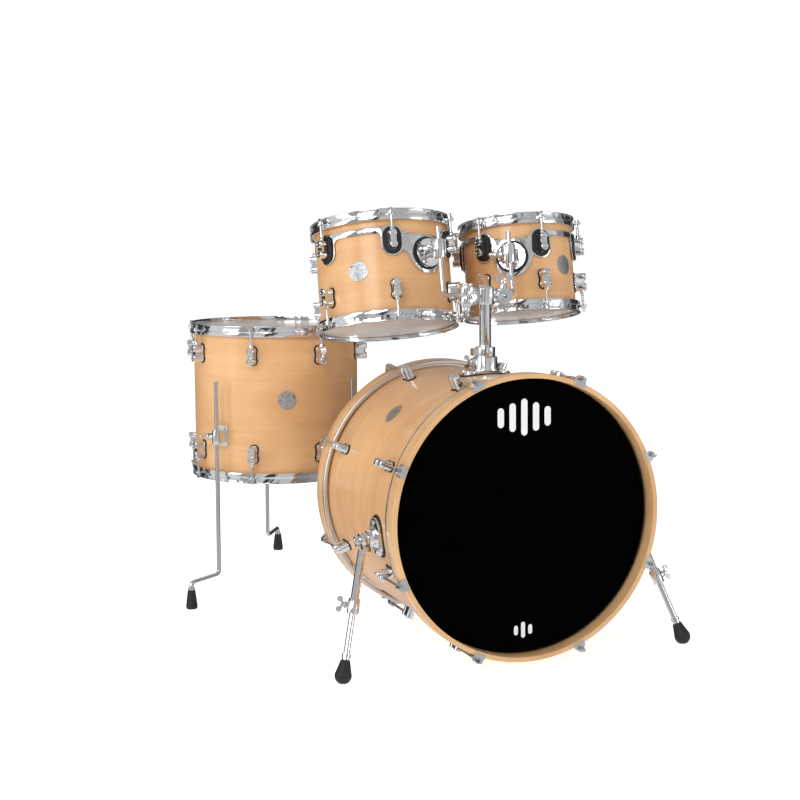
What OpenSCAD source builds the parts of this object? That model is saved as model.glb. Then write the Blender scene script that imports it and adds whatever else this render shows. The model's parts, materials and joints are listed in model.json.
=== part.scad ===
// Four-drum acoustic kit: a bass drum that carries two mounted toms on a post,
// and a free-standing floor tom.
//
// Kit frame while building: X to the right of someone facing the front of the kit,
// Y from the front of the bass drum to its back, Z up, floor at Z = 0.
// kit() then moves the origin to the floor point below the middle of the kit.

/* [Bass drum] */
// Outer diameter of the bass shell
bass_d = 558.8; // [540:0.1:575]
// Depth of the bass shell
bass_depth = 457.2; // [420:0.1:480]
// How far each wooden hoop stands out past the shell
bass_hoop_overhang = 27.4; // [22:0.1:30]
// How far the front of the bass drum is tipped up by its spurs, in degrees
bass_tilt = 1.5; // [0.5:0.1:2.5]

/* [Mounted toms] */
// Outer diameter of the larger mounted tom
tom12_d = 304.8; // [296:0.1:308]
// Depth of the larger mounted tom
tom12_depth = 228.6; // [215:0.1:235]
// Lean of the larger tom away from the front, in degrees
tom12_tilt = 12.9; // [11:0.1:14]
// Outer diameter of the smaller mounted tom
tom10_d = 254; // [246:0.1:256]
// Depth of the smaller mounted tom
tom10_depth = 203.2; // [195:0.1:210]
// Lean of the smaller tom away from the front, in degrees
tom10_tilt = 11.3; // [10:0.1:13]

/* [Floor tom] */
// Outer diameter of the floor tom
floor_d = 406.4; // [396:0.1:408]
// Depth of the floor tom
floor_depth = 355.6; // [330:0.1:360]
// Height of the middle of the floor tom above the floor
floor_mid_z = 472; // [450:1:480]

/* [Hardware] */
// Diameter of the tom post
post_d = 25.4; // [22:0.1:26]
// Diameter of the bent tom arms
arm_d = 10.5; // [9:0.1:11]
// Diameter of the floor tom legs
leg_d = 10; // [9:0.1:11]
// Outward splay of the bass spurs, in degrees
spur_splay = 23.5; // [20:0.5:26]
// Forward lean of the bass spurs, in degrees
spur_forward = 21; // [18:0.5:24]

/* [Hidden] */
$fn = 64;

// General
shell_t = 7;              // wall of every wooden shell
running = 0.1;            // radial clearance of a rod that slides or turns
gasket_t = 2;             // rubber between a metal foot and a shell
lug_pitch = 12;           // half the distance between a lug's two turrets
turret_r = 8.8;
lug_inset = 60;           // tom lug centre to the edge of the shell
rod_r = 3;                // tension rod
maple = "#E3B788";
chrome = "#C8CCD2";
steel = "#B4B8BE";
rubber = "#1C1C1E";
clear_film = "#DCE6EC";

// Bass drum, in its own frame: Y along the axis from the front face of the front hoop
bass_r = bass_d / 2;
bass_hoop_ri = bass_r + 4.5;
bass_hoop_ro = bass_hoop_ri + 10.1;
bass_hoop_w = 39.5;
flesh_w = 10;             // metal hoop that holds the edge of the film
bevel_w = 6.2;            // bearing edge of the shell
bevel_h = 7;
bass_len = bass_depth + 2 * bass_hoop_overhang;
bass_axle_z = bass_len * sin(bass_tilt) + bass_hoop_ro * cos(bass_tilt);
bass_rod_out = 22;        // tension rod above the shell
bass_lug_inset = 85;
bass_lug_angles = [for (i = [0:7]) 22.5 + 45 * i];
bass_badge_angle = -45;
post_y = 222;             // post behind the front face

// Post and its T-shaped head
post_r = post_d / 2;
base_top = bass_r + 35;   // top of the socket above the drum's axis
collar_h = 21;
collar_gap = 0.4;
head_z = 443.7;           // middle of the head above the drum's axis
head_h = 34;
head_x = 42;              // arm clamp from the post
post_low = 185;           // lower end of the post above the drum's axis

// Arms and toms: centres in the kit frame, mount directions seen from above
arm_r = arm_d / 2;
arm_out = 48;             // arm upright above the tom's shell
tom12_pos = [-126, 522, 777];
tom12_az = -71;
tom10_pos = [202, 497, 791];
tom10_az = -121;
tom_rod_out = 17;
band_gap = 2.5;
band_t = 2.2;
disc_drop = 29;           // middle of the mount disc below the upper lugs
disc_r = 44;

// Floor tom
floor_pos = [-290, 872, floor_mid_z];
floor_lug_angles = [for (i = [0:7]) -75.5 + 45 * i];
leg_angles = [-143, -53, 82];
leg_toes = [0, 0, -23];   // turn of each foot from straight outwards
leg_r = leg_d / 2;
leg_out = 29;             // leg rod above the shell
leg_reach = 100;          // foot beyond the leg rod
leg_top_z = 528;
leg_bend_z = 62;
clamp_z = -76;            // leg clamp from the middle of the shell
boot_h = 44;

// Spurs
spur_angle = 98;
spur_y = 135;
spur_knuckle = 32.3;      // middle of the knuckle above the shell
spur_pin_r = 6;
spur_tube_r = 8.5;
spur_rod_r = 6.35;
spur_tube_end = 152;
spur_boot = 46;

// Middle of the kit on the floor
centre_x = -83.7;
centre_y = 589.13;

// ---------- frames ----------

// A point of the bass drum's frame, in the kit frame
function bass_point(p) = [p.x,
    p.y * cos(bass_tilt) + p.z * sin(bass_tilt),
    bass_axle_z - p.y * sin(bass_tilt) + p.z * cos(bass_tilt)];

// A point of a tom's frame, in the kit frame
function tom_point(pos, tilt, az, p) = let (
    x = p.x * cos(az) - p.y * sin(az),
    y = p.x * sin(az) + p.y * cos(az))
    pos + [x, y * cos(tilt) + p.z * sin(tilt), p.z * cos(tilt) - y * sin(tilt)];

module kit() translate([-centre_x, -centre_y, 0]) children();

module on_bass() kit() translate([0, 0, bass_axle_z]) rotate([-bass_tilt, 0, 0]) children();

module on_tom(pos, tilt, az) kit() translate(pos) rotate([-tilt, 0, 0]) rotate([0, 0, az]) children();

module on_tom12() on_tom(tom12_pos, tom12_tilt, tom12_az) children();

module on_tom10() on_tom(tom10_pos, tom10_tilt, tom10_az) children();

module on_floor_tom() kit() translate(floor_pos) children();

// Z along the line from a to b, starting at a
module aim(a, b) {
    v = b - a;
    translate(a) rotate([0, acos(v.z / norm(v)), atan2(v.y, v.x)]) children();
}

// On the outside of the bass shell: Z outwards, Y to the back, X down the side
module bass_side(angle, y, out = 0) rotate([0, angle, 0]) translate([0, y, bass_r + out]) children();

// Laid on a standing shell: Z outwards, Y up
module shell_side(r, angle, z) rotate([0, 0, angle]) translate([r, 0, z]) rotate([90, 0, 90]) children();

// The same thing at both ends of a standing drum
module both_ends() {
    children();
    mirror([0, 0, 1]) children();
}

module solid_y(r, h) rotate([-90, 0, 0]) cylinder(r = r, h = h, $fn = 256);

module ring(ro, ri, h) difference() {
    cylinder(r = ro, h = h, $fn = 256);
    translate([0, 0, -1]) cylinder(r = ri, h = h + 2, $fn = 256);
}

// Round bar through the points p with a smooth bend at each inner one. A bend is a hair
// thicker than the straight lengths, which run 1 mm into it.
module bent_rod(p, r, bend_r) {
    last = len(p) - 1;
    way = [for (i = [0:last - 1]) (p[i + 1] - p[i]) / norm(p[i + 1] - p[i])];
    turn = [for (i = [0:last]) i == 0 || i == last ? 0 : acos(way[i - 1] * way[i])];
    run = [for (t = turn) bend_r * tan(t / 2)];
    for (i = [0:last - 1]) {
        from = max(0, run[i] - 1);
        to = max(0, run[i + 1] - 1);
        aim(p[i] + way[i] * from, p[i + 1]) cylinder(r = r, h = norm(p[i + 1] - p[i]) - from - to);
    }
    for (i = [1:last - 1]) {
        u = way[i - 1];
        n = cross(u, way[i]) / norm(cross(u, way[i]));
        k = cross(u, n);
        c = p[i] - u * run[i] - k * bend_r;
        multmatrix([[k.x, u.x, n.x, c.x], [k.y, u.y, n.y, c.y], [k.z, u.z, n.z, c.z]])
            rotate_extrude(angle = turn[i], $fn = 96) translate([bend_r, 0]) circle(r = r + 0.1);
    }
}

// ---------- shapes that repeat ----------

// Outline of two discs joined side by side, along Y
module twin_disc(r, pitch, h) {
    for (s = [-1, 1]) translate([0, s * pitch, 0]) cylinder(r = r, h = h);
    translate([-r, -pitch, 0]) cube([2 * r, 2 * pitch, h]);
}

// Outline of two discs with a waist between them, along Y
module waisted(r, pitch, waist, h) {
    for (s = [-1, 1]) translate([0, s * pitch, 0]) cylinder(r = r, h = h);
    translate([-waist, -pitch, 0]) cube([2 * waist, 2 * pitch, h]);
}

// Two-turret lug: Z outwards from the shell, Y towards the hoop
module lug(h, rod_h) {
    foot_h = 3;
    chamfer = 1.6;
    difference() {
        union() {
            waisted(turret_r + 0.8, lug_pitch, 8, foot_h);
            waisted(turret_r, lug_pitch, 7, h - 4);
            for (s = [-1, 1]) translate([0, s * lug_pitch, 0]) {
                cylinder(r = turret_r, h = h - chamfer);
                translate([0, 0, h - chamfer]) cylinder(r1 = turret_r, r2 = turret_r - chamfer, h = chamfer);
            }
            translate([0, lug_pitch + 6.5, rod_h]) rotate([-90, 0, 0]) cylinder(r = 5.2, h = 8);
        }
        translate([0, 3, rod_h]) rotate([-90, 0, 0]) cylinder(r = rod_r + 0.3, h = 40);
        for (s = [-1, 1]) translate([0, s * lug_pitch, h - 1]) difference() {
            cylinder(r = 5.8, h = 2);
            translate([0, 0, -1]) cylinder(r = 2.8, h = 4);
        }
    }
}

// Wing screw: the axis is Z, the stem points down, z = 0 is the face it meets
module wing_screw(size = 1) {
    lift = 0.4;
    stem = 9;
    translate([0, 0, -stem]) cylinder(r = 3.2, h = stem + 4);
    translate([0, 0, lift]) scale(size) {
        cylinder(r = 6.5, h = 9);
        for (s = [-1, 1]) {
            translate([s * 13, 2.5, 14]) rotate([90, 0, 0]) cylinder(r = 7, h = 5);
            translate([s * 4, 0, 6.5]) rotate([0, s * 48, 0]) translate([-3.5, -2, 0]) cube([7, 4, 11]);
        }
    }
}

// Boss with a hole for a wing screw, ending at z = 0
module screw_boss(depth, r = 8) difference() {
    translate([0, 0, -depth]) cylinder(r = r, h = depth);
    translate([0, 0, -10]) cylinder(r = 3.6, h = 20);
}

// Square-headed tension rod: Z out of the ear it pulls on, z = 0 is the ear's face
module tension_rod(length) {
    washer_h = 1.6;
    translate([0, 0, -length]) cylinder(r = rod_r, h = length + 1);
    cylinder(r = 6.6, h = washer_h);
    translate([0, 0, washer_h]) cylinder(r = 5.2, h = 4);
    translate([-3.1, -3.1, washer_h + 4]) cube([6.2, 6.2, 7]);
}

// ---------- one tom of any size ----------

hoop_in = 4.6;            // pressed steel hoop: inner wall from the shell
hoop_out = 9.9;
hoop_rise = 10;           // hoop above the edge of the shell
hoop_skirt = -15;
hoop_t = 2.3;
hoop_seat = -6;           // underside of the flange that holds the head down
ear_t = 3.1;              // ear that a tension rod pulls on
ear_top = -3.3;

module wooden_shell(r, depth) translate([0, 0, -depth / 2]) ring(r, r - shell_t, depth);

module head(r) rotate_extrude($fn = 256) polygon([
    [0, 0], [r + 0.6, 0], [r + 0.6, -12], [r + 6.4, -12], [r + 6.4, hoop_seat],
    [r + 1.4, hoop_seat], [r + 1.4, 0.6], [0, 0.6]]);

module tom_heads(r, depth) both_ends() translate([0, 0, depth / 2]) head(r);

module hoop_ear(r) translate([0, 0, ear_top - ear_t]) {
    cylinder(r = 8, h = ear_t);
    translate([hoop_out - tom_rod_out - 1, -8, 0]) cube([tom_rod_out - hoop_out + 1, 16, ear_t]);
}

module steel_hoop(r, angles) difference() {
    union() {
        rotate_extrude($fn = 256) polygon([
            [r + hoop_out - hoop_t, hoop_skirt], [r + hoop_out, hoop_skirt],
            [r + hoop_out, hoop_seat + hoop_t], [r + hoop_in + hoop_t, hoop_seat + hoop_t],
            [r + hoop_in + hoop_t, hoop_rise - hoop_t], [r + hoop_out, hoop_rise - hoop_t],
            [r + hoop_out, hoop_rise], [r + hoop_in, hoop_rise],
            [r + hoop_in, hoop_seat], [r + hoop_out - hoop_t, hoop_seat]]);
        for (a = angles) rotate([0, 0, a]) translate([r + tom_rod_out, 0, 0]) hoop_ear(r);
    }
    for (a = angles) rotate([0, 0, a]) translate([r + tom_rod_out, 0, hoop_seat - 5])
        cylinder(r = rod_r + 0.6, h = 20);
}

module tom_hoops(r, depth, angles) both_ends() translate([0, 0, depth / 2]) steel_hoop(r, angles);

module tom_lugs(r, depth, angles) both_ends()
    for (a = angles) shell_side(r + gasket_t, a, depth / 2 - lug_inset) lug(26, tom_rod_out - gasket_t);

module tom_rods(r, depth, angles) both_ends()
    for (a = angles) rotate([0, 0, a])
        translate([r + tom_rod_out, 0, depth / 2 + ear_top]) tension_rod(lug_inset - 14);

// Thin rubber feet under plain lugs; they take the curve of the shell
module lug_gaskets(r, z, angles) difference() {
    for (a = angles) shell_side(r - 2, a, z) waisted(11.7, lug_pitch, 9.8, gasket_t + 2);
    cylinder(r = r, h = 1000, center = true, $fn = 256);
}

// Round plate bent to the shell, with the air vent near its lower edge
module shell_badge(r, angle, z) intersection() {
    translate([0, 0, z - 40]) ring(r + 1.3, r, 80);
    shell_side(r - 10, angle, z) badge_disc(22);
}

module badge_disc(r) difference() {
    cylinder(r = r, h = 30);
    translate([0, 6 - r, -1]) cylinder(r = 2.5, h = 40);
}

// ---------- suspension mount of a tom ----------

tom_angles = [for (i = [0:5]) 30 + 60 * i];
band_angles = [30, 90, -30, -90];

grommet_r = 20.3;         // rubber grommet round each lug that the band hangs from
grommet_pitch = 10;
strap_low = 17;           // thin strap between grommets, from the lugs' middle
strap_top = 30;
front_low = -22;          // broad strap that carries the disc
front_top = 12.5;

// Sector of the band between two angles, from z = low to z = top
module strap(r, a0, a1, low, top)
    rotate([0, 0, a0]) rotate_extrude(angle = a1 - a0) translate([r - 5, low]) square([20, top - low]);

// Fillets where the lower edge of a strap runs into a disc, on both sides of it
module fillets(edge_y, disc_y, disc_r, fillet_r) {
    rise = edge_y - fillet_r - disc_y;
    x = sqrt(pow(disc_r + fillet_r, 2) - pow(rise, 2)) - 0.3;
    low = disc_y + disc_r * rise / (disc_r + fillet_r) + 0.5;
    difference() {
        translate([-x, low, 0]) cube([2 * x, edge_y + 1 - low, 40]);
        for (s = [-1, 1]) translate([s * x, edge_y - fillet_r + 0.15, -1]) cylinder(r = fillet_r, h = 42);
    }
}

module mount_band(r, lug_z) difference() {
    intersection() {
        translate([0, 0, lug_z - 100]) ring(r + band_gap + band_t, r + band_gap, 160);
        union() {
            for (s = [0, 1]) mirror([0, s, 0]) strap(r, 30, 90, lug_z + strap_low, lug_z + strap_top);
            strap(r, -30, 30, lug_z + front_low, lug_z + front_top);
            for (a = band_angles) shell_side(r - 10, a, lug_z) {
                twin_disc(grommet_r + 4, grommet_pitch, 40);
                fillets(strap_low, grommet_pitch, grommet_r + 4, 16);
            }
            shell_side(r - 10, 0, lug_z) difference() {
                union() {
                    translate([0, -disc_drop, 0]) cylinder(r = disc_r, h = 40);
                    fillets(front_low, -disc_drop, disc_r, 24);
                }
                translate([-60, front_top - 1, -1]) cube([120, 60, 42]);
            }
        }
    }
    for (a = band_angles) shell_side(r - 12, a, lug_z) twin_disc(grommet_r + 0.3, grommet_pitch, 44);
    shell_side(r - 12, 0, lug_z - disc_drop) cylinder(r = 28, h = 44);
}

// Rubber on a mounted tom: grommets round the band's lugs, plain gaskets, and the disc's ring
module tom_rubber(r, depth) {
    lug_z = depth / 2 - lug_inset;
    difference() {
        for (a = band_angles) shell_side(r - 3, a, lug_z) twin_disc(grommet_r, grommet_pitch, 11);
        cylinder(r = r, h = 1000, center = true, $fn = 256);
        for (a = band_angles) shell_side(r + gasket_t, a, lug_z)
            waisted(turret_r + 1.1, lug_pitch, 8.3, 30);
    }
    lug_gaskets(r, lug_z, [150, 210]);
    lug_gaskets(r, -lug_z, tom_angles);
    ro = r + band_gap + band_t;
    intersection() {
        translate([0, 0, lug_z - 100]) ring(ro + 2.2, ro + 0.1, 160);
        shell_side(r - 10, 0, lug_z - disc_drop) ring(36.8, 31.8, 40);
    }
}

// Bracket on the disc: dish, neck and the eye that grips the arm's upright
module bracket(r, z) difference() {
    union() {
        difference() {
            shell_side(r, 0, z) cylinder(r = 31, h = 14);
            cylinder(r = r + band_gap + band_t + 0.1, h = 1000, center = true, $fn = 256);
        }
        shell_side(r + 9, 0, z) cylinder(r = 14, h = arm_out - 12);
        for (s = [-1, 1]) shell_side(r + 9, 0, z) translate([s * 20 - 3, -9, 0]) cube([6, 18, 14]);
        translate([r + arm_out, -3, z - 20]) cylinder(r = 16.5, h = 40);
        translate([r + arm_out, -26, z]) rotate([90, 0, 0]) screw_boss(16);
    }
    translate([r + arm_out, 0, z - 40]) cylinder(r = arm_r + running, h = 80);
    translate([r + arm_out, -26, z]) rotate([90, 0, 0]) translate([0, 0, -10]) cylinder(r = 3.6, h = 12);
}

module bracket_screw(r, z) translate([r + arm_out, -26, z]) rotate([90, 0, 0]) wing_screw();

// ---------- bass drum ----------

module bass_shell() color(maple) on_bass() difference() {
    translate([0, bass_hoop_overhang, 0]) rotate([-90, 0, 0]) rotate_extrude($fn = 256) polygon([
        [bass_r - shell_t, 0], [bass_r - bevel_w, 0], [bass_r, bevel_h],
        [bass_r, bass_depth - bevel_h], [bass_r - bevel_w, bass_depth], [bass_r - shell_t, bass_depth]]);
    translate([0, post_y, 0]) cylinder(r = 18, h = 400);
}

// Ring round the drum's axis, starting at y
module ring_y(ro, ri, y, w) translate([0, y, 0]) rotate([-90, 0, 0]) ring(ro, ri, w);

module bass_hoops() color(maple) bass_ends() ring_y(bass_hoop_ro, bass_hoop_ri, 0, bass_hoop_w);

// Metal hoop at the edge of a bass head, pressed back by the wooden hoop
module bass_flesh_hoops() color(steel) bass_ends()
    translate([0, bass_hoop_w + 0.2, 0]) rotate([-90, 0, 0]) rotate_extrude($fn = 256) polygon([
        [bass_r + 5.4, 0], [bass_r + 12.4, 0], [bass_r + 13.6, 1.2],
        [bass_r + 13.6, flesh_w - 2], [bass_r + 11.6, flesh_w],
        [bass_r + 6.4, flesh_w], [bass_r + 5.4, flesh_w - 1]]);

// Bass head: film over the bearing edge, its slope, and its hem inside the metal hoop
module bass_head() rotate([-90, 0, 0]) rotate_extrude($fn = 256) polygon([
    [0, -0.8], [bass_r - 4.6, -0.8], [bass_r + 4.2, 9.8], [bass_r + 4.2, 12.2], [bass_r + 5.2, 13.2],
    [bass_r + 5.2, 19], [bass_r + 4.4, 19], [bass_r + 4.4, 13.5], [bass_r + 3.4, 12.4],
    [bass_r + 3.4, 10.2], [bass_r - 5, 0], [0, 0]]);

module bass_front_head() color(rubber) on_bass() translate([0, bass_hoop_overhang, 0]) bass_head();

module bass_rear_head() color(clear_film) on_bass()
    translate([0, bass_len - bass_hoop_overhang, 0]) mirror([0, 1, 0]) bass_head();

// Each thing at the front of the bass drum, and its mirror image at the back
module bass_ends() on_bass() {
    children();
    translate([0, bass_len, 0]) mirror([0, 1, 0]) children();
}

bass_lug_y = bass_hoop_overhang + bass_lug_inset;

module bass_lugs() color(chrome) bass_ends() for (a = bass_lug_angles)
    bass_side(a, bass_lug_y, gasket_t) mirror([0, 1, 0]) lug(28, bass_rod_out - gasket_t);

module bass_gaskets() color(rubber) {
    bass_ends() difference() {
        for (a = bass_lug_angles) bass_side(a, bass_lug_y, -2) waisted(11.7, lug_pitch, 9.8, gasket_t + 2);
        solid_y(bass_r, 400);
    }
    on_bass() intersection() {
        ring_y(bass_r + gasket_t, bass_r, 50, 360);
        union() {
            bass_side(0, post_y, -12) rotate([0, 0, 90]) twin_disc(36, 24, 40);
            for (s = [-1, 1]) bass_side(s * spur_angle, spur_y, -12) rotate([0, 0, 90]) twin_disc(31, 14, 40);
        }
        difference() {
            translate([-500, 0, -500]) cube([1000, 500, 1000]);
            cylinder(r = 18, h = 600);
            translate([0, post_y, 0]) cylinder(r = 18, h = 600);
        }
    }
}

// Claw hook: over the hoop's front edge, with an ear that the tension rod pulls on
module claw() {
    saddle_z = bass_hoop_ro - bass_r + 0.3;
    saddle_t = 3;
    lip_z = bass_hoop_ri - bass_r + 3;
    difference() {
        union() {
            translate([-12, -3, lip_z]) cube([24, 3, saddle_z - lip_z + 1]);
            translate([-12, -3, saddle_z]) cube([24, 22, saddle_t]);
            translate([0, 13, 0]) rotate([90, 0, 0]) linear_extrude(15.5) polygon([
                [-11.5, saddle_z + saddle_t - 1], [11.5, saddle_z + saddle_t - 1],
                [6.4, bass_rod_out + 3], [-6.4, bass_rod_out + 3]]);
            translate([0, -2.7, bass_rod_out]) rotate([-90, 0, 0]) cylinder(r = 7, h = 15.9);
        }
        translate([0, -10, bass_rod_out]) rotate([-90, 0, 0]) cylinder(r = rod_r + 0.4, h = 40);
    }
}

module bass_claws() color(chrome) bass_ends() for (a = bass_lug_angles) bass_side(a, 0) claw();

module bass_tension_rods() color(steel) bass_ends() for (a = bass_lug_angles)
    bass_side(a, -3, bass_rod_out) rotate([90, 0, 0]) tension_rod(bass_lug_y - 8);

module bass_badge() color(steel) on_bass() intersection() {
    difference() {
        translate([0, 100, 0]) solid_y(bass_r + 1.3, 300);
        translate([0, 90, 0]) solid_y(bass_r, 400);
    }
    bass_side(bass_badge_angle, bass_len / 2, -10) badge_disc(23);
}

// ---------- post and its base ----------

base_screw = [-32, post_y, base_top - 10];

module tom_mount_base() color(chrome) on_bass() difference() {
    union() {
        intersection() {
            difference() {
                translate([0, 50, 0]) solid_y(bass_r + gasket_t + 5, 400);
                solid_y(bass_r + gasket_t, 500);
            }
            bass_side(0, post_y, -12) rotate([0, 0, 90]) twin_disc(33, 22, 40);
        }
        translate([0, post_y, bass_r + 3]) cylinder(r = 26, h = base_top - bass_r - 3);
        translate([0, post_y, bass_r + 3]) cylinder(r = 30, h = 7);
        for (x = [-44, 44], y = [-13, 13]) translate([x, post_y + y, bass_r + 1]) cylinder(r = 5, h = 5);
        translate(base_screw) rotate([0, -90, 0]) screw_boss(14);
    }
    translate([0, post_y, bass_r - 20]) cylinder(r = post_r + running, h = 100);
    translate(base_screw) rotate([0, -90, 0])
        translate([0, 0, -10]) cylinder(r = 3.6, h = 20);
}

module post_wing_screw() color(chrome) on_bass()
    translate(base_screw) rotate([0, -90, 0]) wing_screw(0.75);

module memory_collar() color(chrome) on_bass() translate([0, post_y, base_top + collar_gap]) difference() {
    union() {
        cylinder(r = 21.5, h = collar_h);
        translate([-31, -8, 3]) cube([20, 16, collar_h - 6]);
        translate([0, -23, collar_h / 2]) rotate([90, 0, 0]) translate([0, 0, -4]) cylinder(r = 4, h = 7);
    }
    translate([0, 0, -1]) cylinder(r = post_r + running, h = collar_h + 2);
    translate([-40, -1, -1]) cube([26, 2, collar_h + 2]);
}

// Middle of the head and of each arm clamp, in the kit frame
head_mid = bass_point([0, post_y, head_z]);
arm12_clamp = head_mid + [-head_x, 0, 0];
arm10_clamp = head_mid + [head_x, 0, 0];

// Disc height on each tom, the grip point of its arm, and the arm's bend
disc12_z = tom12_depth / 2 - lug_inset - disc_drop;
disc10_z = tom10_depth / 2 - lug_inset - disc_drop;
arm_spare = 50;           // upright above the eye's middle
grip12 = tom_point(tom12_pos, tom12_tilt, tom12_az, [tom12_d / 2 + arm_out, 0, disc12_z]);
grip10 = tom_point(tom10_pos, tom10_tilt, tom10_az, [tom10_d / 2 + arm_out, 0, disc10_z]);
up12 = [0, sin(tom12_tilt), cos(tom12_tilt)];
up10 = [0, sin(tom10_tilt), cos(tom10_tilt)];
bend12 = grip12 - up12 * (grip12.z - arm12_clamp.z) / up12.z;
bend10 = grip10 - up10 * (grip10.z - arm10_clamp.z) / up10.z;
clamp_r = 17;
clamp_screw_z = 24;
arm_tail = 29;            // arm beyond the middle of its clamp

// Upright barrel in two halves that close on the larger tom's arm
module barrel_clamp(a) translate(a) {
    translate([0, 0, -clamp_screw_z + 6]) cylinder(r = clamp_r, h = clamp_screw_z - 6.6);
    translate([0, 0, 0.6]) cylinder(r = clamp_r, h = 21);
    translate([0, 0, -clamp_screw_z]) cylinder(r = 9, h = clamp_screw_z + 28);
    translate([0, 0, 22]) cylinder(r = 13, h = 6);
}

// Lying barrel with a key bolt on its front that closes on the smaller tom's arm
module key_clamp(a) translate(a) {
    rotate([90, 0, 0]) translate([0, 0, -clamp_r]) cylinder(r = clamp_r, h = 2 * clamp_r - 4);
    rotate([90, 0, 0]) translate([0, 0, clamp_r - 5]) cylinder(r = 10, h = 6);
    rotate([90, 0, 0]) translate([0, 0, clamp_r]) cylinder(r = 5, h = 5);
    translate([-3, -clamp_r - 9, -3]) cube([6, 6, 6]);
    cylinder(r = 9, h = clamp_screw_z);
}

module tom_post() color(chrome) difference() {
    union() {
        on_bass() translate([0, post_y, post_low]) cylinder(r = post_r, h = head_z - post_low);
        on_bass() translate([0, post_y, head_z - head_h / 2]) cylinder(r = 21, h = head_h);
        on_bass() translate([0, post_y, head_z + head_h / 2]) cylinder(r1 = 21, r2 = 14, h = 5);
        kit() translate(head_mid + [-head_x, -9, -11]) cube([2 * head_x, 18, 22]);
        kit() barrel_clamp(arm12_clamp);
        kit() key_clamp(arm10_clamp);
    }
    on_bass() translate([0, post_y, post_low - 1]) cylinder(r = post_r - 2, h = head_z - post_low - 30);
    kit() aim(arm12_clamp, bend12) translate([0, 0, -40]) cylinder(r = arm_r + running, h = 80);
    kit() aim(arm10_clamp, bend10) translate([0, 0, -40]) cylinder(r = arm_r + running, h = 80);
    kit() translate(arm12_clamp - [0, 0, clamp_screw_z + 1]) cylinder(r = 3.6, h = 11);
    kit() translate(arm10_clamp + [0, 0, clamp_screw_z - 10]) cylinder(r = 3.6, h = 11);
}

// The larger tom's clamp is tightened from below, the smaller tom's from above
module tom12_arm_wing() color(chrome) kit()
    translate(arm12_clamp - [0, 0, clamp_screw_z]) rotate([180, 0, 35]) wing_screw();

module tom10_arm_wing() color(chrome) kit() translate(arm10_clamp + [0, 0, clamp_screw_z]) wing_screw();

// Bent arm: from just before its clamp to the bend, and up beside the tom
module tom_arm(clamp, bend, grip, up) {
    tail = (clamp - bend) * arm_tail / norm(clamp - bend);
    kit() bent_rod([clamp + tail, bend, grip + up * arm_spare], arm_r, 16);
}

module tom12_arm() color(steel) tom_arm(arm12_clamp, bend12, grip12, up12);

module tom10_arm() color(steel) tom_arm(arm10_clamp, bend10, grip10, up10);

// ---------- spurs ----------

// On the spur's pivot: Z outwards along the pivot pin; the left side is the mirror image
module spur_pivot(side) on_bass() mirror([side < 0 ? 1 : 0, 0, 0]) bass_side(spur_angle, spur_y) children();

// Along the spur's leg, starting at the middle of its knuckle
module spur_leg(side) spur_pivot(side) translate([0, 0, spur_knuckle])
    rotate([0, 0, -spur_forward]) rotate([0, 90 - spur_splay, 0]) children();

// Length of the leg's axis from the knuckle to the floor
function turned(v, a) = [v.x * cos(a) + v.z * sin(a), v.y, v.z * cos(a) - v.x * sin(a)];
spur_dir_side = [cos(spur_splay) * cos(spur_forward), -cos(spur_splay) * sin(spur_forward), sin(spur_splay)];
spur_dir_bass = turned(spur_dir_side, spur_angle);
spur_fall = spur_dir_bass.z * cos(bass_tilt) - spur_dir_bass.y * sin(bass_tilt);
spur_start = bass_point(turned([0, spur_y, bass_r + spur_knuckle], spur_angle));
spur_len = -spur_start.z / spur_fall;

module spur_bracket(side) {
    hub_top = spur_knuckle - 8.4;
    on_bass() mirror([side < 0 ? 1 : 0, 0, 0]) intersection() {
        difference() {
            translate([0, 50, 0]) solid_y(bass_r + gasket_t + 6, 300);
            solid_y(bass_r + gasket_t, 400);
        }
        bass_side(spur_angle, spur_y, -12) rotate([0, 0, 90]) twin_disc(28, 12, 40);
    }
    spur_pivot(side) {
        translate([0, 0, 5]) cylinder(r = 17, h = hub_top - 5);
        translate([0, 0, 5]) cylinder(r1 = 25, r2 = 18, h = 10);
        translate([0, 0, 10]) cylinder(r = spur_pin_r, h = spur_knuckle);
        difference() {
            translate([0, 0, spur_knuckle + 8.4]) cylinder(r = 11, h = 10);
            translate([0, 0, spur_knuckle + 15]) cylinder(r = 7, h = 10);
        }
        for (s = [-1, 1]) translate([s * 30, 0, 4]) cylinder(r = 4.5, h = 7);
    }
}

module spur_brackets() color(chrome) for (side = [-1, 1]) spur_bracket(side);

// On the outward face of a spur's clamp: Z outwards
module spur_screw() translate([-18, 0, spur_tube_end - 15]) rotate([0, -90, 0]) children();

module spur_tube_body(side) difference() {
    union() {
        spur_pivot(side) translate([0, 0, spur_knuckle - 8]) cylinder(r = 15, h = 16);
        spur_pivot(side) translate([0, 0, spur_knuckle - 8]) rotate([0, 0, -spur_forward])
            translate([0, -8, 0.5]) cube([28, 16, 15]);
        spur_leg(side) translate([0, 0, 22]) cylinder(r = spur_tube_r, h = spur_tube_end - 22);
        spur_leg(side) translate([0, 0, spur_tube_end - 30]) cylinder(r = 12, h = 30);
        spur_leg(side) spur_screw() screw_boss(12, 7);
    }
    spur_pivot(side) translate([0, 0, -1]) cylinder(r = spur_pin_r + running, h = 80);
    spur_leg(side) translate([0, 0, 34]) cylinder(r = spur_rod_r + running, h = 200);
    spur_leg(side) spur_screw() translate([0, 0, -10]) cylinder(r = 3.6, h = 20);
}

// Upper part of a spur with its wing screw
module spur_tube(side) {
    spur_tube_body(side);
    spur_leg(side) spur_screw() wing_screw(0.8);
}

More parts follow.
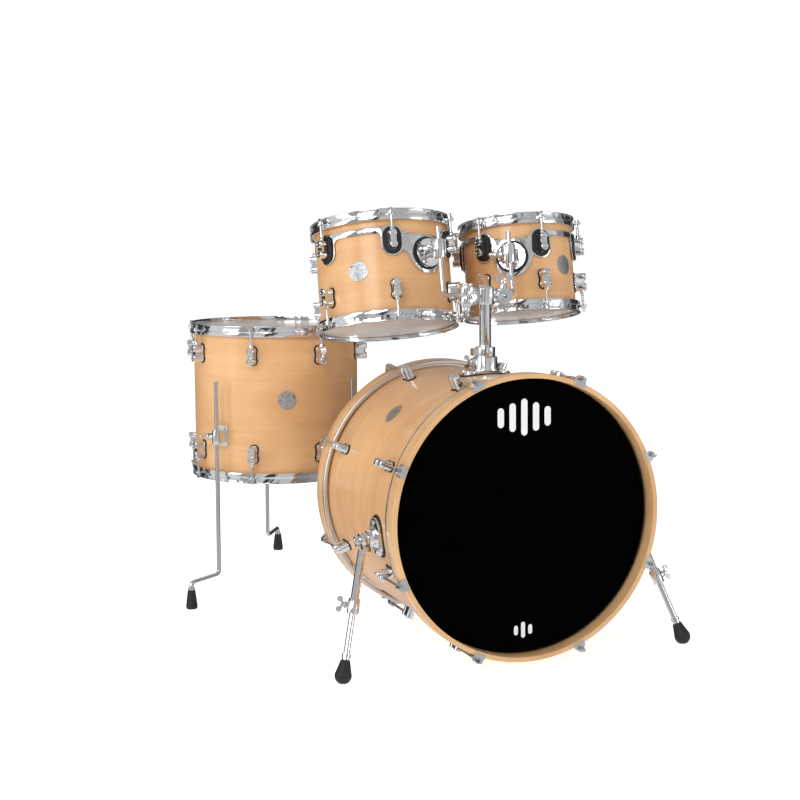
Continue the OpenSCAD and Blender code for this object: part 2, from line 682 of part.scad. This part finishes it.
module spur_rod(side) spur_leg(side) {
    translate([0, 0, 92]) cylinder(r = spur_rod_r, h = spur_len - spur_boot - 92);
    translate([0, 0, spur_len - spur_boot - 12]) cylinder(r = 9, h = 6);
    translate([0, 0, spur_len - spur_boot - 6]) cylinder(r = 7.5, h = 6);
}

// Rubber boot, cut off level with the floor
module spur_foot(side) intersection() {
    spur_leg(side) {
        translate([0, 0, spur_len - spur_boot]) cylinder(r1 = 9.5, r2 = 16.4, h = 26);
        translate([0, 0, spur_len - spur_boot + 30]) sphere(r = 17);
    }
    kit() translate([-1000, -500, 0]) cube([2000, 1000, 300]);
}

module spur_left_tube() color(chrome) spur_tube(-1);
module spur_left_rod() color(steel) spur_rod(-1);
module spur_left_foot() color(rubber) spur_foot(-1);
module spur_right_tube() color(chrome) spur_tube(1);
module spur_right_rod() color(steel) spur_rod(1);
module spur_right_foot() color(rubber) spur_foot(1);

// ---------- larger mounted tom ----------

tom12_r = tom12_d / 2;
tom12_lug_z = tom12_depth / 2 - lug_inset;

module tom12_shell() color(maple) on_tom12() wooden_shell(tom12_r, tom12_depth);
module tom12_heads() color(clear_film) on_tom12() tom_heads(tom12_r, tom12_depth);
module tom12_hoops() color(chrome) on_tom12() tom_hoops(tom12_r, tom12_depth, tom_angles);
module tom12_lugs() color(chrome) on_tom12() tom_lugs(tom12_r, tom12_depth, tom_angles);
module tom12_gaskets() color(rubber) on_tom12() tom_rubber(tom12_r, tom12_depth);
module tom12_tension_rods() color(steel) on_tom12() tom_rods(tom12_r, tom12_depth, tom_angles);
module tom12_mount_band() color(steel) on_tom12() mount_band(tom12_r, tom12_lug_z);
module tom12_bracket() color(chrome) on_tom12() bracket(tom12_r, disc12_z);
module tom12_badge() color(steel) on_tom12() shell_badge(tom12_r, -60, -8);
module tom12_wing_screw() color(chrome) on_tom12() bracket_screw(tom12_r, disc12_z);

// ---------- smaller mounted tom ----------

tom10_r = tom10_d / 2;
tom10_lug_z = tom10_depth / 2 - lug_inset;

module tom10_shell() color(maple) on_tom10() wooden_shell(tom10_r, tom10_depth);
module tom10_heads() color(clear_film) on_tom10() tom_heads(tom10_r, tom10_depth);
module tom10_hoops() color(chrome) on_tom10() tom_hoops(tom10_r, tom10_depth, tom_angles);
module tom10_lugs() color(chrome) on_tom10() tom_lugs(tom10_r, tom10_depth, tom_angles);
module tom10_gaskets() color(rubber) on_tom10() tom_rubber(tom10_r, tom10_depth);
module tom10_tension_rods() color(steel) on_tom10() tom_rods(tom10_r, tom10_depth, tom_angles);
module tom10_mount_band() color(steel) on_tom10() mount_band(tom10_r, tom10_lug_z);
module tom10_bracket() color(chrome) on_tom10() bracket(tom10_r, disc10_z);
module tom10_badge() color(steel) on_tom10() shell_badge(tom10_r, 60, -7);
module tom10_wing_screw() color(chrome) on_tom10() bracket_screw(tom10_r, disc10_z);

// ---------- floor tom ----------

floor_r = floor_d / 2;
leg_ring = floor_r + leg_out;

module floor_tom_shell() color(maple) on_floor_tom() wooden_shell(floor_r, floor_depth);
module floor_tom_heads() color(clear_film) on_floor_tom() tom_heads(floor_r, floor_depth);
module floor_tom_hoops() color(chrome) on_floor_tom() tom_hoops(floor_r, floor_depth, floor_lug_angles);
module floor_tom_lugs() color(chrome) on_floor_tom() tom_lugs(floor_r, floor_depth, floor_lug_angles);
module floor_tom_tension_rods() color(steel) on_floor_tom() tom_rods(floor_r, floor_depth, floor_lug_angles);
module floor_tom_badge() color(steel) on_floor_tom() shell_badge(floor_r, -98, 12);

module floor_tom_gaskets() color(rubber) on_floor_tom() both_ends()
    lug_gaskets(floor_r, floor_depth / 2 - lug_inset, floor_lug_angles);

// Clamp on the shell that grips a leg, with its wing screw beside it
module leg_clamp() difference() {
    union() {
        difference() {
            translate([floor_r - 5, -13, clamp_z - 25]) cube([11, 26, 50]);
            cylinder(r = floor_r, h = 1000, center = true, $fn = 256);
        }
        translate([floor_r + 3, -9, clamp_z - 15]) cube([leg_out - 5, 18, 30]);
        translate([leg_ring, 0, clamp_z - 17]) cylinder(r = 11, h = 34);
        translate([leg_ring, -22, clamp_z]) rotate([90, 0, 0]) screw_boss(14);
    }
    translate([leg_ring, 0, clamp_z - 40]) cylinder(r = leg_r + running, h = 80);
    translate([leg_ring, -22, clamp_z]) rotate([90, 0, 0]) translate([0, 0, -10]) cylinder(r = 3.6, h = 12);
}

module floor_tom_leg_clamps() color(chrome) on_floor_tom() for (a = leg_angles) rotate([0, 0, a]) leg_clamp();

module floor_tom_wing_screws() color(chrome) on_floor_tom() for (a = leg_angles) rotate([0, 0, a])
    translate([leg_ring, -22, clamp_z]) rotate([90, 0, 0]) wing_screw();

// Stands at the clamp of leg i, with X along its foot
module at_leg(i) kit() translate([floor_pos.x, floor_pos.y, 0]) rotate([0, 0, leg_angles[i]])
    translate([leg_ring, 0, 0]) rotate([0, 0, leg_toes[i]]) children();

// Leg: a long rod, a level reach outwards, and a short drop into its rubber foot
module leg_bar(r) bent_rod([[0, 0, leg_top_z], [0, 0, leg_bend_z],
    [leg_reach, 0, leg_bend_z], [leg_reach, 0, 12]], r, 11);

module floor_leg(i) at_leg(i) {
    leg_bar(leg_r);
    translate([leg_reach, 0, boot_h + 0.5]) cylinder(r = 7.4, h = 5);
}

module floor_foot(i) at_leg(i) difference() {
    translate([leg_reach, 0, 0]) {
        cylinder(r1 = 12.2, r2 = 13.6, h = 5);
        translate([0, 0, 5]) cylinder(r1 = 13.6, r2 = 10, h = 31);
        translate([0, 0, 36]) cylinder(r1 = 10, r2 = 8.6, h = boot_h - 36);
    }
    leg_bar(leg_r + 0.05);
}

module floor_tom_leg_1() color(steel) floor_leg(0);
module floor_tom_leg_2() color(steel) floor_leg(1);
module floor_tom_leg_3() color(steel) floor_leg(2);
module floor_tom_foot_1() color(rubber) floor_foot(0);
module floor_tom_foot_2() color(rubber) floor_foot(1);
module floor_tom_foot_3() color(rubber) floor_foot(2);

// ---------- selection ----------

bass_shell();
bass_hoops();
bass_flesh_hoops();
bass_front_head();
bass_rear_head();
bass_lugs();
bass_gaskets();
bass_claws();
bass_tension_rods();
bass_badge();
tom_mount_base();
spur_brackets();
spur_left_tube();
spur_left_rod();
spur_left_foot();
spur_right_tube();
spur_right_rod();
spur_right_foot();
memory_collar();
tom_post();
post_wing_screw();
tom12_arm();
tom12_arm_wing();
tom10_arm();
tom10_arm_wing();
tom12_shell();
tom12_heads();
tom12_hoops();
tom12_lugs();
tom12_gaskets();
tom12_tension_rods();
tom12_mount_band();
tom12_bracket();
tom12_badge();
tom12_wing_screw();
tom10_shell();
tom10_heads();
tom10_hoops();
tom10_lugs();
tom10_gaskets();
tom10_tension_rods();
tom10_mount_band();
tom10_bracket();
tom10_badge();
tom10_wing_screw();
floor_tom_shell();
floor_tom_heads();
floor_tom_hoops();
floor_tom_lugs();
floor_tom_gaskets();
floor_tom_tension_rods();
floor_tom_badge();
floor_tom_leg_clamps();
floor_tom_wing_screws();
floor_tom_leg_1();
floor_tom_leg_2();
floor_tom_leg_3();
floor_tom_foot_1();
floor_tom_foot_2();
floor_tom_foot_3();
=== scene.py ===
import json
import math

import bmesh
import bpy
from mathutils import Euler, Matrix, Vector


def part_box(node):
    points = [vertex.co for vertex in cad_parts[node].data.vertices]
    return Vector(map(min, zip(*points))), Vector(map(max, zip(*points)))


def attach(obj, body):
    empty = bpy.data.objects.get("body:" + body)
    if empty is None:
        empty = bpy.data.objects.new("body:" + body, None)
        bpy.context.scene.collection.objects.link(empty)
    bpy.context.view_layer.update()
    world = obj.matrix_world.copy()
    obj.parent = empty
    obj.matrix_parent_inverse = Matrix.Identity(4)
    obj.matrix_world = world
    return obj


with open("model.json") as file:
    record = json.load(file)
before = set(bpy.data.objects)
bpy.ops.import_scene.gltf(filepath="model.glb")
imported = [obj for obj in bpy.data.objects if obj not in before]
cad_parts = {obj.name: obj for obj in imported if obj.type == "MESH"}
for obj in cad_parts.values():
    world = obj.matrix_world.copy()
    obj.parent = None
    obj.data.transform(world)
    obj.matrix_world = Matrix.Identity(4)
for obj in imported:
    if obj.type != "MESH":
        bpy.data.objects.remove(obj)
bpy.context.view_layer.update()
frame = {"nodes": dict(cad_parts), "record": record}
scene = bpy.context.scene

MM = 0.001
NODES = frame["nodes"]
JOINTS = {j["name"]: j for j in frame["record"]["behaviour"]["joints"]}


# ---------- shader helpers ----------

def new_material(name):
    """A material with its nodes, its links and its Principled shader."""
    material = bpy.data.materials.new(name)
    material.use_nodes = True
    tree = material.node_tree
    return material, tree.nodes, tree.links, tree.nodes["Principled BSDF"]


def feed(links, socket, value):
    """Sets a socket to a number, or links it to another socket."""
    if isinstance(value, (int, float)):
        socket.default_value = value
    else:
        links.new(value, socket)


def math_node(nodes, links, operation, a, b):
    """One step of arithmetic on two numbers or sockets."""
    node = nodes.new("ShaderNodeMath")
    node.operation = operation
    for socket, value in zip(node.inputs, (a, b)):
        feed(links, socket, value)
    return node.outputs[0]


def weighted_sum(nodes, links, layers):
    """Adds up (socket, weight) layers."""
    scaled = [math_node(nodes, links, "MULTIPLY", socket, weight) for socket, weight in layers]
    total = scaled[0]
    for layer in scaled[1:]:
        total = math_node(nodes, links, "ADD", total, layer)
    return total


def blend(nodes, links, factor, a, b):
    """From a at factor 0 to b at factor 1; both are numbers or sockets."""
    node = nodes.new("ShaderNodeMix")
    node.data_type = "FLOAT"
    links.new(factor, node.inputs[0])
    for socket, value in zip(node.inputs[2:4], (a, b)):
        feed(links, socket, value)
    return node.outputs[0]


def noise(nodes, links, vector, scale, detail=3, distortion=0.0):
    """Soft noise from about 0 to 1 at the coordinates given."""
    node = nodes.new("ShaderNodeTexNoise")
    node.inputs["Scale"].default_value = scale
    node.inputs["Detail"].default_value = detail
    node.inputs["Distortion"].default_value = distortion
    links.new(vector, node.inputs["Vector"])
    return node.outputs["Fac"]


def ramp(nodes, links, factor, stops):
    """Colour ramp through (position, colour) stops."""
    node = nodes.new("ShaderNodeValToRGB")
    elements = node.color_ramp.elements
    while len(elements) < len(stops):
        elements.new(0.5)
    for element, (position, colour) in zip(elements, stops):
        element.position = position
        element.color = (*colour, 1)
    links.new(factor, node.inputs["Fac"])
    return node.outputs["Color"]


def spread(nodes, links, factor, low, high, out_low, out_high):
    """Stretches low to high onto out_low to out_high, and stops at both ends."""
    node = nodes.new("ShaderNodeMapRange")
    for name, value in zip(("From Min", "From Max", "To Min", "To Max"), (low, high, out_low, out_high)):
        node.inputs[name].default_value = value
    links.new(factor, node.inputs["Value"])
    return node.outputs["Result"]


def bump(nodes, links, height, strength, distance, shader):
    """Fine relief from a height socket; distance is in metres."""
    node = nodes.new("ShaderNodeBump")
    node.inputs["Strength"].default_value = strength
    node.inputs["Distance"].default_value = distance
    links.new(height, node.inputs["Height"])
    links.new(node.outputs["Normal"], shader.inputs["Normal"])


def object_noise(nodes, links, scale, stretch=(1, 1, 1), detail=3):
    """Noise fixed to the piece, squeezed along each axis by stretch."""
    coords = nodes.new("ShaderNodeTexCoord")
    mapping = nodes.new("ShaderNodeMapping")
    mapping.inputs["Scale"].default_value = stretch
    links.new(coords.outputs["Object"], mapping.inputs["Vector"])
    return noise(nodes, links, mapping.outputs["Vector"], scale, detail)


# ---------- camera, light and stage ----------

CAMERA_FROM_BASS = (-1.1785, -2.7066, 0.5812)   # from the middle of the bass shell
CAMERA_YAW = 20.158        # degrees to the right of +Y
CAMERA_PITCH = 7.012       # degrees below level
CAMERA_LENS = 61.606       # in mm, as is the sensor
SENSOR_WIDTH = 36

# Azimuth in degrees from +X, from -180 to 180, and how bright the room is there
ROOM_BANDS = [(-180, 0.75), (-163, 0.75), (-158, 0.36), (-142, 0.36), (-137, 0.62), (-122, 0.62),
              (-119, 0.05), (-111, 0.05), (-108, 0.62), (-88, 0.62), (-83, 0.50), (-62, 0.50),
              (-57, 0.80), (-28, 0.80), (-22, 0.30), (-6, 0.30), (0, 0.04), (62, 0.04), (70, 0.3),
              (95, 0.3), (102, 0.04), (146, 0.04), (152, 0.75)]
CEILING_LIGHT = 0.46
# Directions by their Z: the walls end, the ceiling is full, the floor begins, the floor is full
WALL_TOP = 0.25
CEILING_FULL = 0.8
WALL_FOOT = -0.35
FLOOR_FULL = -0.5
FLOOR_IN_CHROME = 0.85     # shiny surfaces see this below them, not the floor itself
FLOOR_GLOW = 0.42          # light that the floor gives the object
FLOOR_SEEN = 0.66          # the same for the camera, so the floor stays white
FLOOR_REACH = 30
FLOOR_DROP = 0.0005        # keeps the floor just under the feet

WHITE = (1, 1, 1)
WARM_WHITE = (1, 0.985, 0.96)
# Name, place, height of the point it faces, size, watts, colour
LIGHTS = [
    ("key", (-3.0, -3.0, 3.0), 0.45, (2.0, 2.0), 70, WARM_WHITE),
    ("strip", (-3.6, -0.6, 1.5), 0.6, (1.2, 2.6), 20, WHITE),
    ("fill", (3.0, -3.0, 0.95), 0.75, (1.2, 1.2), 20, WHITE),
    ("back", (0.5, 3.4, 3.0), 0.45, (2.5, 1.5), 24, WHITE),
]


def middle_of(node):
    """Middle of a node's box at rest."""
    low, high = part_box(node)
    return (low + high) / 2


def build_camera():
    """The photograph's viewing angle, placed from the middle of the bass shell."""
    camera = bpy.data.objects.new("camera", bpy.data.cameras.new("camera"))
    scene.collection.objects.link(camera)
    camera.data.sensor_width = SENSOR_WIDTH
    camera.data.lens = CAMERA_LENS
    camera.location = middle_of("bass_shell") + Vector(CAMERA_FROM_BASS)
    camera.rotation_euler = (math.radians(90 - CAMERA_PITCH), 0, math.radians(-CAMERA_YAW))
    scene.camera = camera
    scene.view_settings.view_transform = "Standard"


def area_light(name, place, aim_at, size, power, colour):
    """A soft rectangular lamp that faces a point."""
    light = bpy.data.lights.new(name, "AREA")
    light.shape = "RECTANGLE"
    light.size, light.size_y = size
    light.energy = power
    light.color = colour
    lamp = bpy.data.objects.new(name, light)
    scene.collection.objects.link(lamp)
    lamp.location = place
    lamp.rotation_euler = (Vector(aim_at) - Vector(place)).to_track_quat("-Z", "Y").to_euler()


def camera_switch(nodes, links, seen, otherwise):
    """A value that is one thing for the camera and another for every other ray."""
    path = nodes.new("ShaderNodeLightPath")
    return blend(nodes, links, path.outputs["Is Camera Ray"], otherwise, seen)


def build_world():
    """A room of soft upright bands for the object; behind it, the camera sees plain white."""
    world = bpy.data.worlds.new("studio")
    world.use_nodes = True
    nodes, links = world.node_tree.nodes, world.node_tree.links
    background = nodes["Background"]
    background.inputs["Color"].default_value = (1, 1, 1, 1)
    direction = nodes.new("ShaderNodeSeparateXYZ")
    links.new(nodes.new("ShaderNodeTexCoord").outputs["Generated"], direction.inputs["Vector"])
    azimuth = math_node(nodes, links, "ARCTAN2", direction.outputs["Y"], direction.outputs["X"])
    turn = spread(nodes, links, azimuth, -math.pi, math.pi, 0, 1)
    stops = [((a + 180) / 360, (v, v, v)) for a, v in ROOM_BANDS]
    bands = ramp(nodes, links, turn, stops)
    height = direction.outputs["Z"]
    ceiling_share = spread(nodes, links, height, WALL_TOP, CEILING_FULL, 0, 1)
    floor_share = spread(nodes, links, height, FLOOR_FULL, WALL_FOOT, 1, 0)
    walls = blend(nodes, links, ceiling_share, bands, CEILING_LIGHT)
    room = blend(nodes, links, floor_share, walls, FLOOR_IN_CHROME)
    links.new(camera_switch(nodes, links, 1.0, room), background.inputs["Strength"])
    scene.world = world


def build_floor():
    """The plain pale floor."""
    r = FLOOR_REACH
    mesh = bpy.data.meshes.new("stage_floor")
    mesh.from_pydata([(-r, -r, 0), (r, -r, 0), (r, r, 0), (-r, r, 0)], [], [(0, 1, 2, 3)])
    white, nodes, links, shader = new_material("stage_white")
    shader.inputs["Base Color"].default_value = (0.92, 0.92, 0.92, 1)
    shader.inputs["Roughness"].default_value = 0.7
    shader.inputs["Specular IOR Level"].default_value = 0.1
    shader.inputs["Emission Color"].default_value = (1, 1, 1, 1)
    links.new(camera_switch(nodes, links, FLOOR_SEEN, FLOOR_GLOW), shader.inputs["Emission Strength"])
    mesh.materials.append(white)
    floor = bpy.data.objects.new("stage_floor", mesh)
    floor.location.z = -FLOOR_DROP
    floor.visible_glossy = False
    scene.collection.objects.link(floor)


def build_stage():
    """Camera, room, floor and lamps."""
    build_camera()
    build_world()
    build_floor()
    for name, place, aim_height, size, power, colour in LIGHTS:
        area_light(name, place, (0, 0, aim_height), size, power, colour)


# ---------- frames of the drums ----------

def tilt_about_x(axis):
    """Turn that takes +Z to an axis lying in the YZ plane."""
    return Euler((-math.atan2(axis[1], axis[2]), 0, 0))


class Drum:
    def __init__(self, shell, turn):
        self.middle = middle_of(shell)
        self.turn = turn
        self.matrix = Matrix.Translation(self.middle) @ turn.to_matrix().to_4x4()
        back = self.matrix.inverted()
        self.half = max((back @ v.co).z for v in NODES[shell].data.vertices)


BASS_UP = JOINTS["post_height"]["axis"]
BASS_TILT = math.atan2(BASS_UP[1], BASS_UP[2])
# The bass drum's own Z runs from its back to its front
bass = Drum("bass_shell", Euler((math.pi / 2 - BASS_TILT, 0, 0)))
tom12 = Drum("tom12_shell", tilt_about_x(JOINTS["tom_12_height"]["axis"]))
tom10 = Drum("tom10_shell", tilt_about_x(JOINTS["tom_10_height"]["axis"]))
floor_tom = Drum("floor_tom_shell", Euler((0, 0, 0)))


# ---------- materials ----------

MAPLE_LIGHT = (0.85, 0.50, 0.240)
MAPLE_DARK = (0.72, 0.385, 0.165)
HOOP_MAPLE_LIGHT = (0.83, 0.53, 0.27)
HOOP_MAPLE_DARK = (0.66, 0.37, 0.16)
# How much each layer of the wood's figure counts
LINES_SHARE = 0.40
CLOUD_SHARE = 0.60
PORES_SHARE = 0.08

CHROME_TONE = (0.80, 0.81, 0.83)
STEEL_TONE = (0.72, 0.73, 0.75)
HOOP_METAL_TONE = (0.80, 0.80, 0.79)
BADGE_TONE = (0.52, 0.53, 0.55)
RUBBER_TONE = (0.011, 0.011, 0.012)
INK_TONE = (0.9, 0.9, 0.9)
BLACK_DEEP = (0.0003, 0.0003, 0.0003)
BLACK_PALE = (0.0006, 0.0006, 0.0006)
# Clear film tones: a faint random haze, and also the painted sheen that shows where the film turns
# opaque at a slant
HAZE_AND_SHEEN_WARM = (0.94, 0.92, 0.90)
HAZE_AND_SHEEN_CLEAR = (0.99, 0.98, 0.97)

CASTING_WAVES = 12         # how much the cast chrome's slow unevenness counts


def local_coordinates(nodes, links, middle, turn, scale):
    """Object coordinates turned into a drum's own frame, then stretched."""
    coords = nodes.new("ShaderNodeTexCoord")
    place = nodes.new("ShaderNodeMapping")
    place.vector_type = "TEXTURE"
    place.inputs["Location"].default_value = middle
    place.inputs["Rotation"].default_value = turn
    links.new(coords.outputs["Object"], place.inputs["Vector"])
    stretch = nodes.new("ShaderNodeMapping")
    stretch.inputs["Scale"].default_value = scale
    links.new(place.outputs["Vector"], stretch.inputs["Vector"])
    return stretch.outputs["Vector"]


def maple(name, drum, shift, light=MAPLE_LIGHT, dark=MAPLE_DARK):
    """Lacquered maple: wide soft figure, faint wavy growth lines round the drum, and fine pores.

    shift, in metres, gives each piece its own stretch of the figure.
    """
    material, nodes, links, shader = new_material(name)
    place = drum.middle + Vector((shift, 0, 0))

    def layer(stretch, scale, detail, distortion=0.0):
        """Noise in the drum's own frame; stretch squeezes it, most of all along the drum's axis."""
        vector = local_coordinates(nodes, links, place, drum.turn, stretch)
        return noise(nodes, links, vector, scale, detail, distortion)

    lines = layer((1.3, 1.3, 24), 1.6, 4, 1.1)
    cloud = layer((3.5, 3.5, 6), 1.1, 3, 1.2)
    pores = layer((40, 40, 620), 1.0, 3)
    shares = [(lines, LINES_SHARE), (cloud, CLOUD_SHARE), (pores, PORES_SHARE)]
    grain = weighted_sum(nodes, links, shares)
    mean = [(a + b) / 2 for a, b in zip(light, dark)]
    colour = ramp(nodes, links, grain, [(0.36, dark), (0.52, mean), (0.66, light)])
    links.new(colour, shader.inputs["Base Color"])
    links.new(spread(nodes, links, pores, 0.3, 0.7, 0.34, 0.46), shader.inputs["Roughness"])
    shader.inputs["Coat Weight"].default_value = 0.6
    shader.inputs["Coat Roughness"].default_value = 0.18
    shader.inputs["Specular IOR Level"].default_value = 0.3
    bump(nodes, links, pores, 0.06, 0.0004, shader)
    return material


def plated(name, tone, rough, stretch=(1, 1, 1), waves=0.0):
    """Bright metal with faint wipe marks; waves makes the surface uneven, as on a casting."""
    material, nodes, links, shader = new_material(name)
    wear = object_noise(nodes, links, 55, stretch)
    darker = tuple(c * 0.93 for c in tone)
    links.new(ramp(nodes, links, wear, [(0.35, darker), (0.6, tone)]), shader.inputs["Base Color"])
    links.new(spread(nodes, links, wear, 0.35, 0.7, rough, rough * 1.9), shader.inputs["Roughness"])
    shader.inputs["Metallic"].default_value = 1
    fine = object_noise(nodes, links, 130, stretch)
    slow = object_noise(nodes, links, 38, stretch, 2)
    ripple = weighted_sum(nodes, links, [(fine, 1.0), (slow, waves)])
    bump(nodes, links, ripple, 0.05, 0.0003, shader)
    return material


def engraved_metal(name, tone):
    """Satin badge metal with darker etched marks."""
    material, nodes, links, shader = new_material(name)
    marks = object_noise(nodes, links, 210, (1, 1, 2.2), 2)
    brushed = object_noise(nodes, links, 40, (1, 1, 14))
    etched = tuple(c * 0.40 for c in tone)
    mixed = weighted_sum(nodes, links, [(marks, 0.8), (brushed, 0.2)])
    links.new(ramp(nodes, links, mixed, [(0.40, etched), (0.47, tone)]), shader.inputs["Base Color"])
    links.new(spread(nodes, links, mixed, 0.38, 0.5, 0.55, 0.34), shader.inputs["Roughness"])
    shader.inputs["Metallic"].default_value = 0.85
    bump(nodes, links, mixed, 0.3, 0.0003, shader)
    return material


def moulded_rubber(name, tone):
    """Matt black rubber with a fine moulded grain."""
    material, nodes, links, shader = new_material(name)
    grain = object_noise(nodes, links, 900, detail=2)
    lighter = tuple(c * 1.7 for c in tone)
    links.new(ramp(nodes, links, grain, [(0.3, tone), (0.8, lighter)]), shader.inputs["Base Color"])
    links.new(spread(nodes, links, grain, 0.3, 0.7, 0.5, 0.7), shader.inputs["Roughness"])
    bump(nodes, links, grain, 0.25, 0.0004, shader)
    return material


def black_film():
    """The front head's black film: very dark, with hardly any shine."""
    material, nodes, links, shader = new_material("black_film")
    grain = object_noise(nodes, links, 14, detail=4)
    links.new(ramp(nodes, links, grain, [(0.3, BLACK_DEEP), (0.7, BLACK_PALE)]),
              shader.inputs["Base Color"])
    links.new(spread(nodes, links, grain, 0.3, 0.7, 0.34, 0.44), shader.inputs["Roughness"])
    shader.inputs["Specular IOR Level"].default_value = 0.01
    bump(nodes, links, object_noise(nodes, links, 600), 0.05, 0.0002, shader)
    return material


def clear_film():
    """Clear polyester with a faint haze: nearly see-through face on, and more opaque at a slant, where
    its whitish colour is a painted sheen for the film's stronger glancing reflection.
    """
    material, nodes, links, shader = new_material("clear_film")
    haze = object_noise(nodes, links, 9, detail=4)
    links.new(ramp(nodes, links, haze, [(0.3, HAZE_AND_SHEEN_WARM), (0.7, HAZE_AND_SHEEN_CLEAR)]),
              shader.inputs["Base Color"])
    slant = nodes.new("ShaderNodeLayerWeight")
    slant.inputs["Blend"].default_value = 0.25
    # Opacity rises at a slant: a painted sheen, the film's glancing reflection shown as its own whitish
    # colour
    links.new(spread(nodes, links, slant.outputs["Facing"], 0, 1, 0.26, 0.86), shader.inputs["Alpha"])
    links.new(spread(nodes, links, haze, 0.3, 0.7, 0.10, 0.18), shader.inputs["Roughness"])
    return material


def ink(name, tone):
    """Flat printed colour, a little uneven."""
    material, nodes, links, shader = new_material(name)
    grain = object_noise(nodes, links, 240)
    thinner = tuple(c * 0.96 for c in tone)
    links.new(ramp(nodes, links, grain, [(0.3, thinner), (0.7, tone)]), shader.inputs["Base Color"])
    links.new(spread(nodes, links, grain, 0.3, 0.7, 0.35, 0.45), shader.inputs["Roughness"])
    return material


# ---------- finishing CAD nodes ----------

WELD_DISTANCE = 0.00001
SHARP_ANGLE = 35           # degrees; sharper edges than this are softened
EDGE_SOFTENING = 0.5 * MM
HOOP_ROUNDING = 1.5 * MM


def dress(node, material, bevel=0.0, segments=2):
    """Gives a CAD node its material and, where asked, softened edges."""
    piece = NODES[node]
    piece.data.materials.clear()
    piece.data.materials.append(material)
    if bevel:
        weld = piece.modifiers.new("weld", "WELD")
        weld.merge_threshold = WELD_DISTANCE
        soften = piece.modifiers.new("bevel", "BEVEL")
        soften.width = bevel
        soften.segments = segments
        soften.limit_method = "ANGLE"
        soften.angle_limit = math.radians(SHARP_ANGLE)
        soften.harden_normals = True


def outline_piece(name, outlines, thickness, matrix, material, body):
    """Thin flat shapes in one piece: each closed outline becomes a plate that is thickness high."""
    made = bmesh.new()
    for outline in outlines:
        bottom = [made.verts.new((x, y, 0)) for x, y in outline]
        top = [made.verts.new((x, y, thickness)) for x, y in outline]
        made.faces.new(list(reversed(bottom)))
        made.faces.new(top)
        count = len(outline)
        for i in range(count):
            j = (i + 1) % count
            made.faces.new((bottom[i], bottom[j], top[j], top[i]))
    mesh = bpy.data.meshes.new(name)
    made.to_mesh(mesh)
    made.free()
    mesh.materials.append(material)
    piece = bpy.data.objects.new(name, mesh)
    scene.collection.objects.link(piece)
    piece.matrix_world = matrix
    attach(piece, body)


def rounded_bar(x, y, width, height, steps=10):
    """Outline of an upright bar with round ends."""
    r = width / 2
    straight = height / 2 - r
    points = []
    for centre, start in ((y + straight, 0), (y - straight, 180)):
        for i in range(steps + 1):
            a = math.radians(start + 180 * i / steps)
            points.append((x + r * math.cos(a), centre + r * math.sin(a)))
    return points


build_stage()

chrome = plated("chrome", CHROME_TONE, 0.07, waves=CASTING_WAVES)
bar_steel = plated("bright_steel", STEEL_TONE, 0.11, (1, 1, 0.15))
hoop_metal = plated("hoop_metal", HOOP_METAL_TONE, 0.26, (0.2, 0.2, 0.2))
badge_metal = engraved_metal("badge_metal", BADGE_TONE)
rubber = moulded_rubber("rubber", RUBBER_TONE)
film = clear_film()
head_black = black_film()
white_ink = ink("white_ink", INK_TONE)

dress("bass_shell", maple("maple_bass", bass, 0.0))
hoop_maple = maple("maple_bass_hoops", bass, 0.31, HOOP_MAPLE_LIGHT, HOOP_MAPLE_DARK)
dress("bass_hoops", hoop_maple, HOOP_ROUNDING, 3)
dress("tom12_shell", maple("maple_tom12", tom12, 0.13))
dress("tom10_shell", maple("maple_tom10", tom10, 0.71))
dress("floor_tom_shell", maple("maple_floor_tom", floor_tom, 0.47))

dress("bass_front_head", head_black)
dress("bass_rear_head", film)
for drum_name in ("tom12", "tom10", "floor_tom"):
    dress(f"{drum_name}_heads", film)

for name in NODES:
    if name == "bass_flesh_hoops":
        dress(name, hoop_metal)
    elif "badge" in name:
        dress(name, badge_metal)
    elif "gaskets" in name or "foot" in name:
        dress(name, rubber)
    elif "rods" in name or name.endswith(("_rod", "_arm", "_leg_1", "_leg_2", "_leg_3")):
        dress(name, bar_steel)
    elif "shell" not in name and "head" not in name and name != "bass_hoops":
        dress(name, chrome, EDGE_SOFTENING)

FILM_THICKNESS = 0.8 * MM
FRONT_FILM = bass.half + FILM_THICKNESS
MARK_THICKNESS = 0.3 * MM
# Rows of upright bars, in mm: height above the middle, bar width, then each bar's place and length
BAR_ROWS = [
    (204, 14, [(-52, 40), (-26, 58), (0, 75), (26, 58), (52, 40)]),
    (-234, 9, [(-19, 20), (-3, 33), (13, 20)]),
]
marks = [rounded_bar(x * MM, height * MM, width * MM, length * MM)
         for height, width, bars in BAR_ROWS for x, length in bars]
on_the_film = bass.matrix @ Matrix.Translation((0, 0, FRONT_FILM))
outline_piece("front_head_marks", marks, MARK_THICKNESS, on_the_film,
              white_ink, "bass_drum")
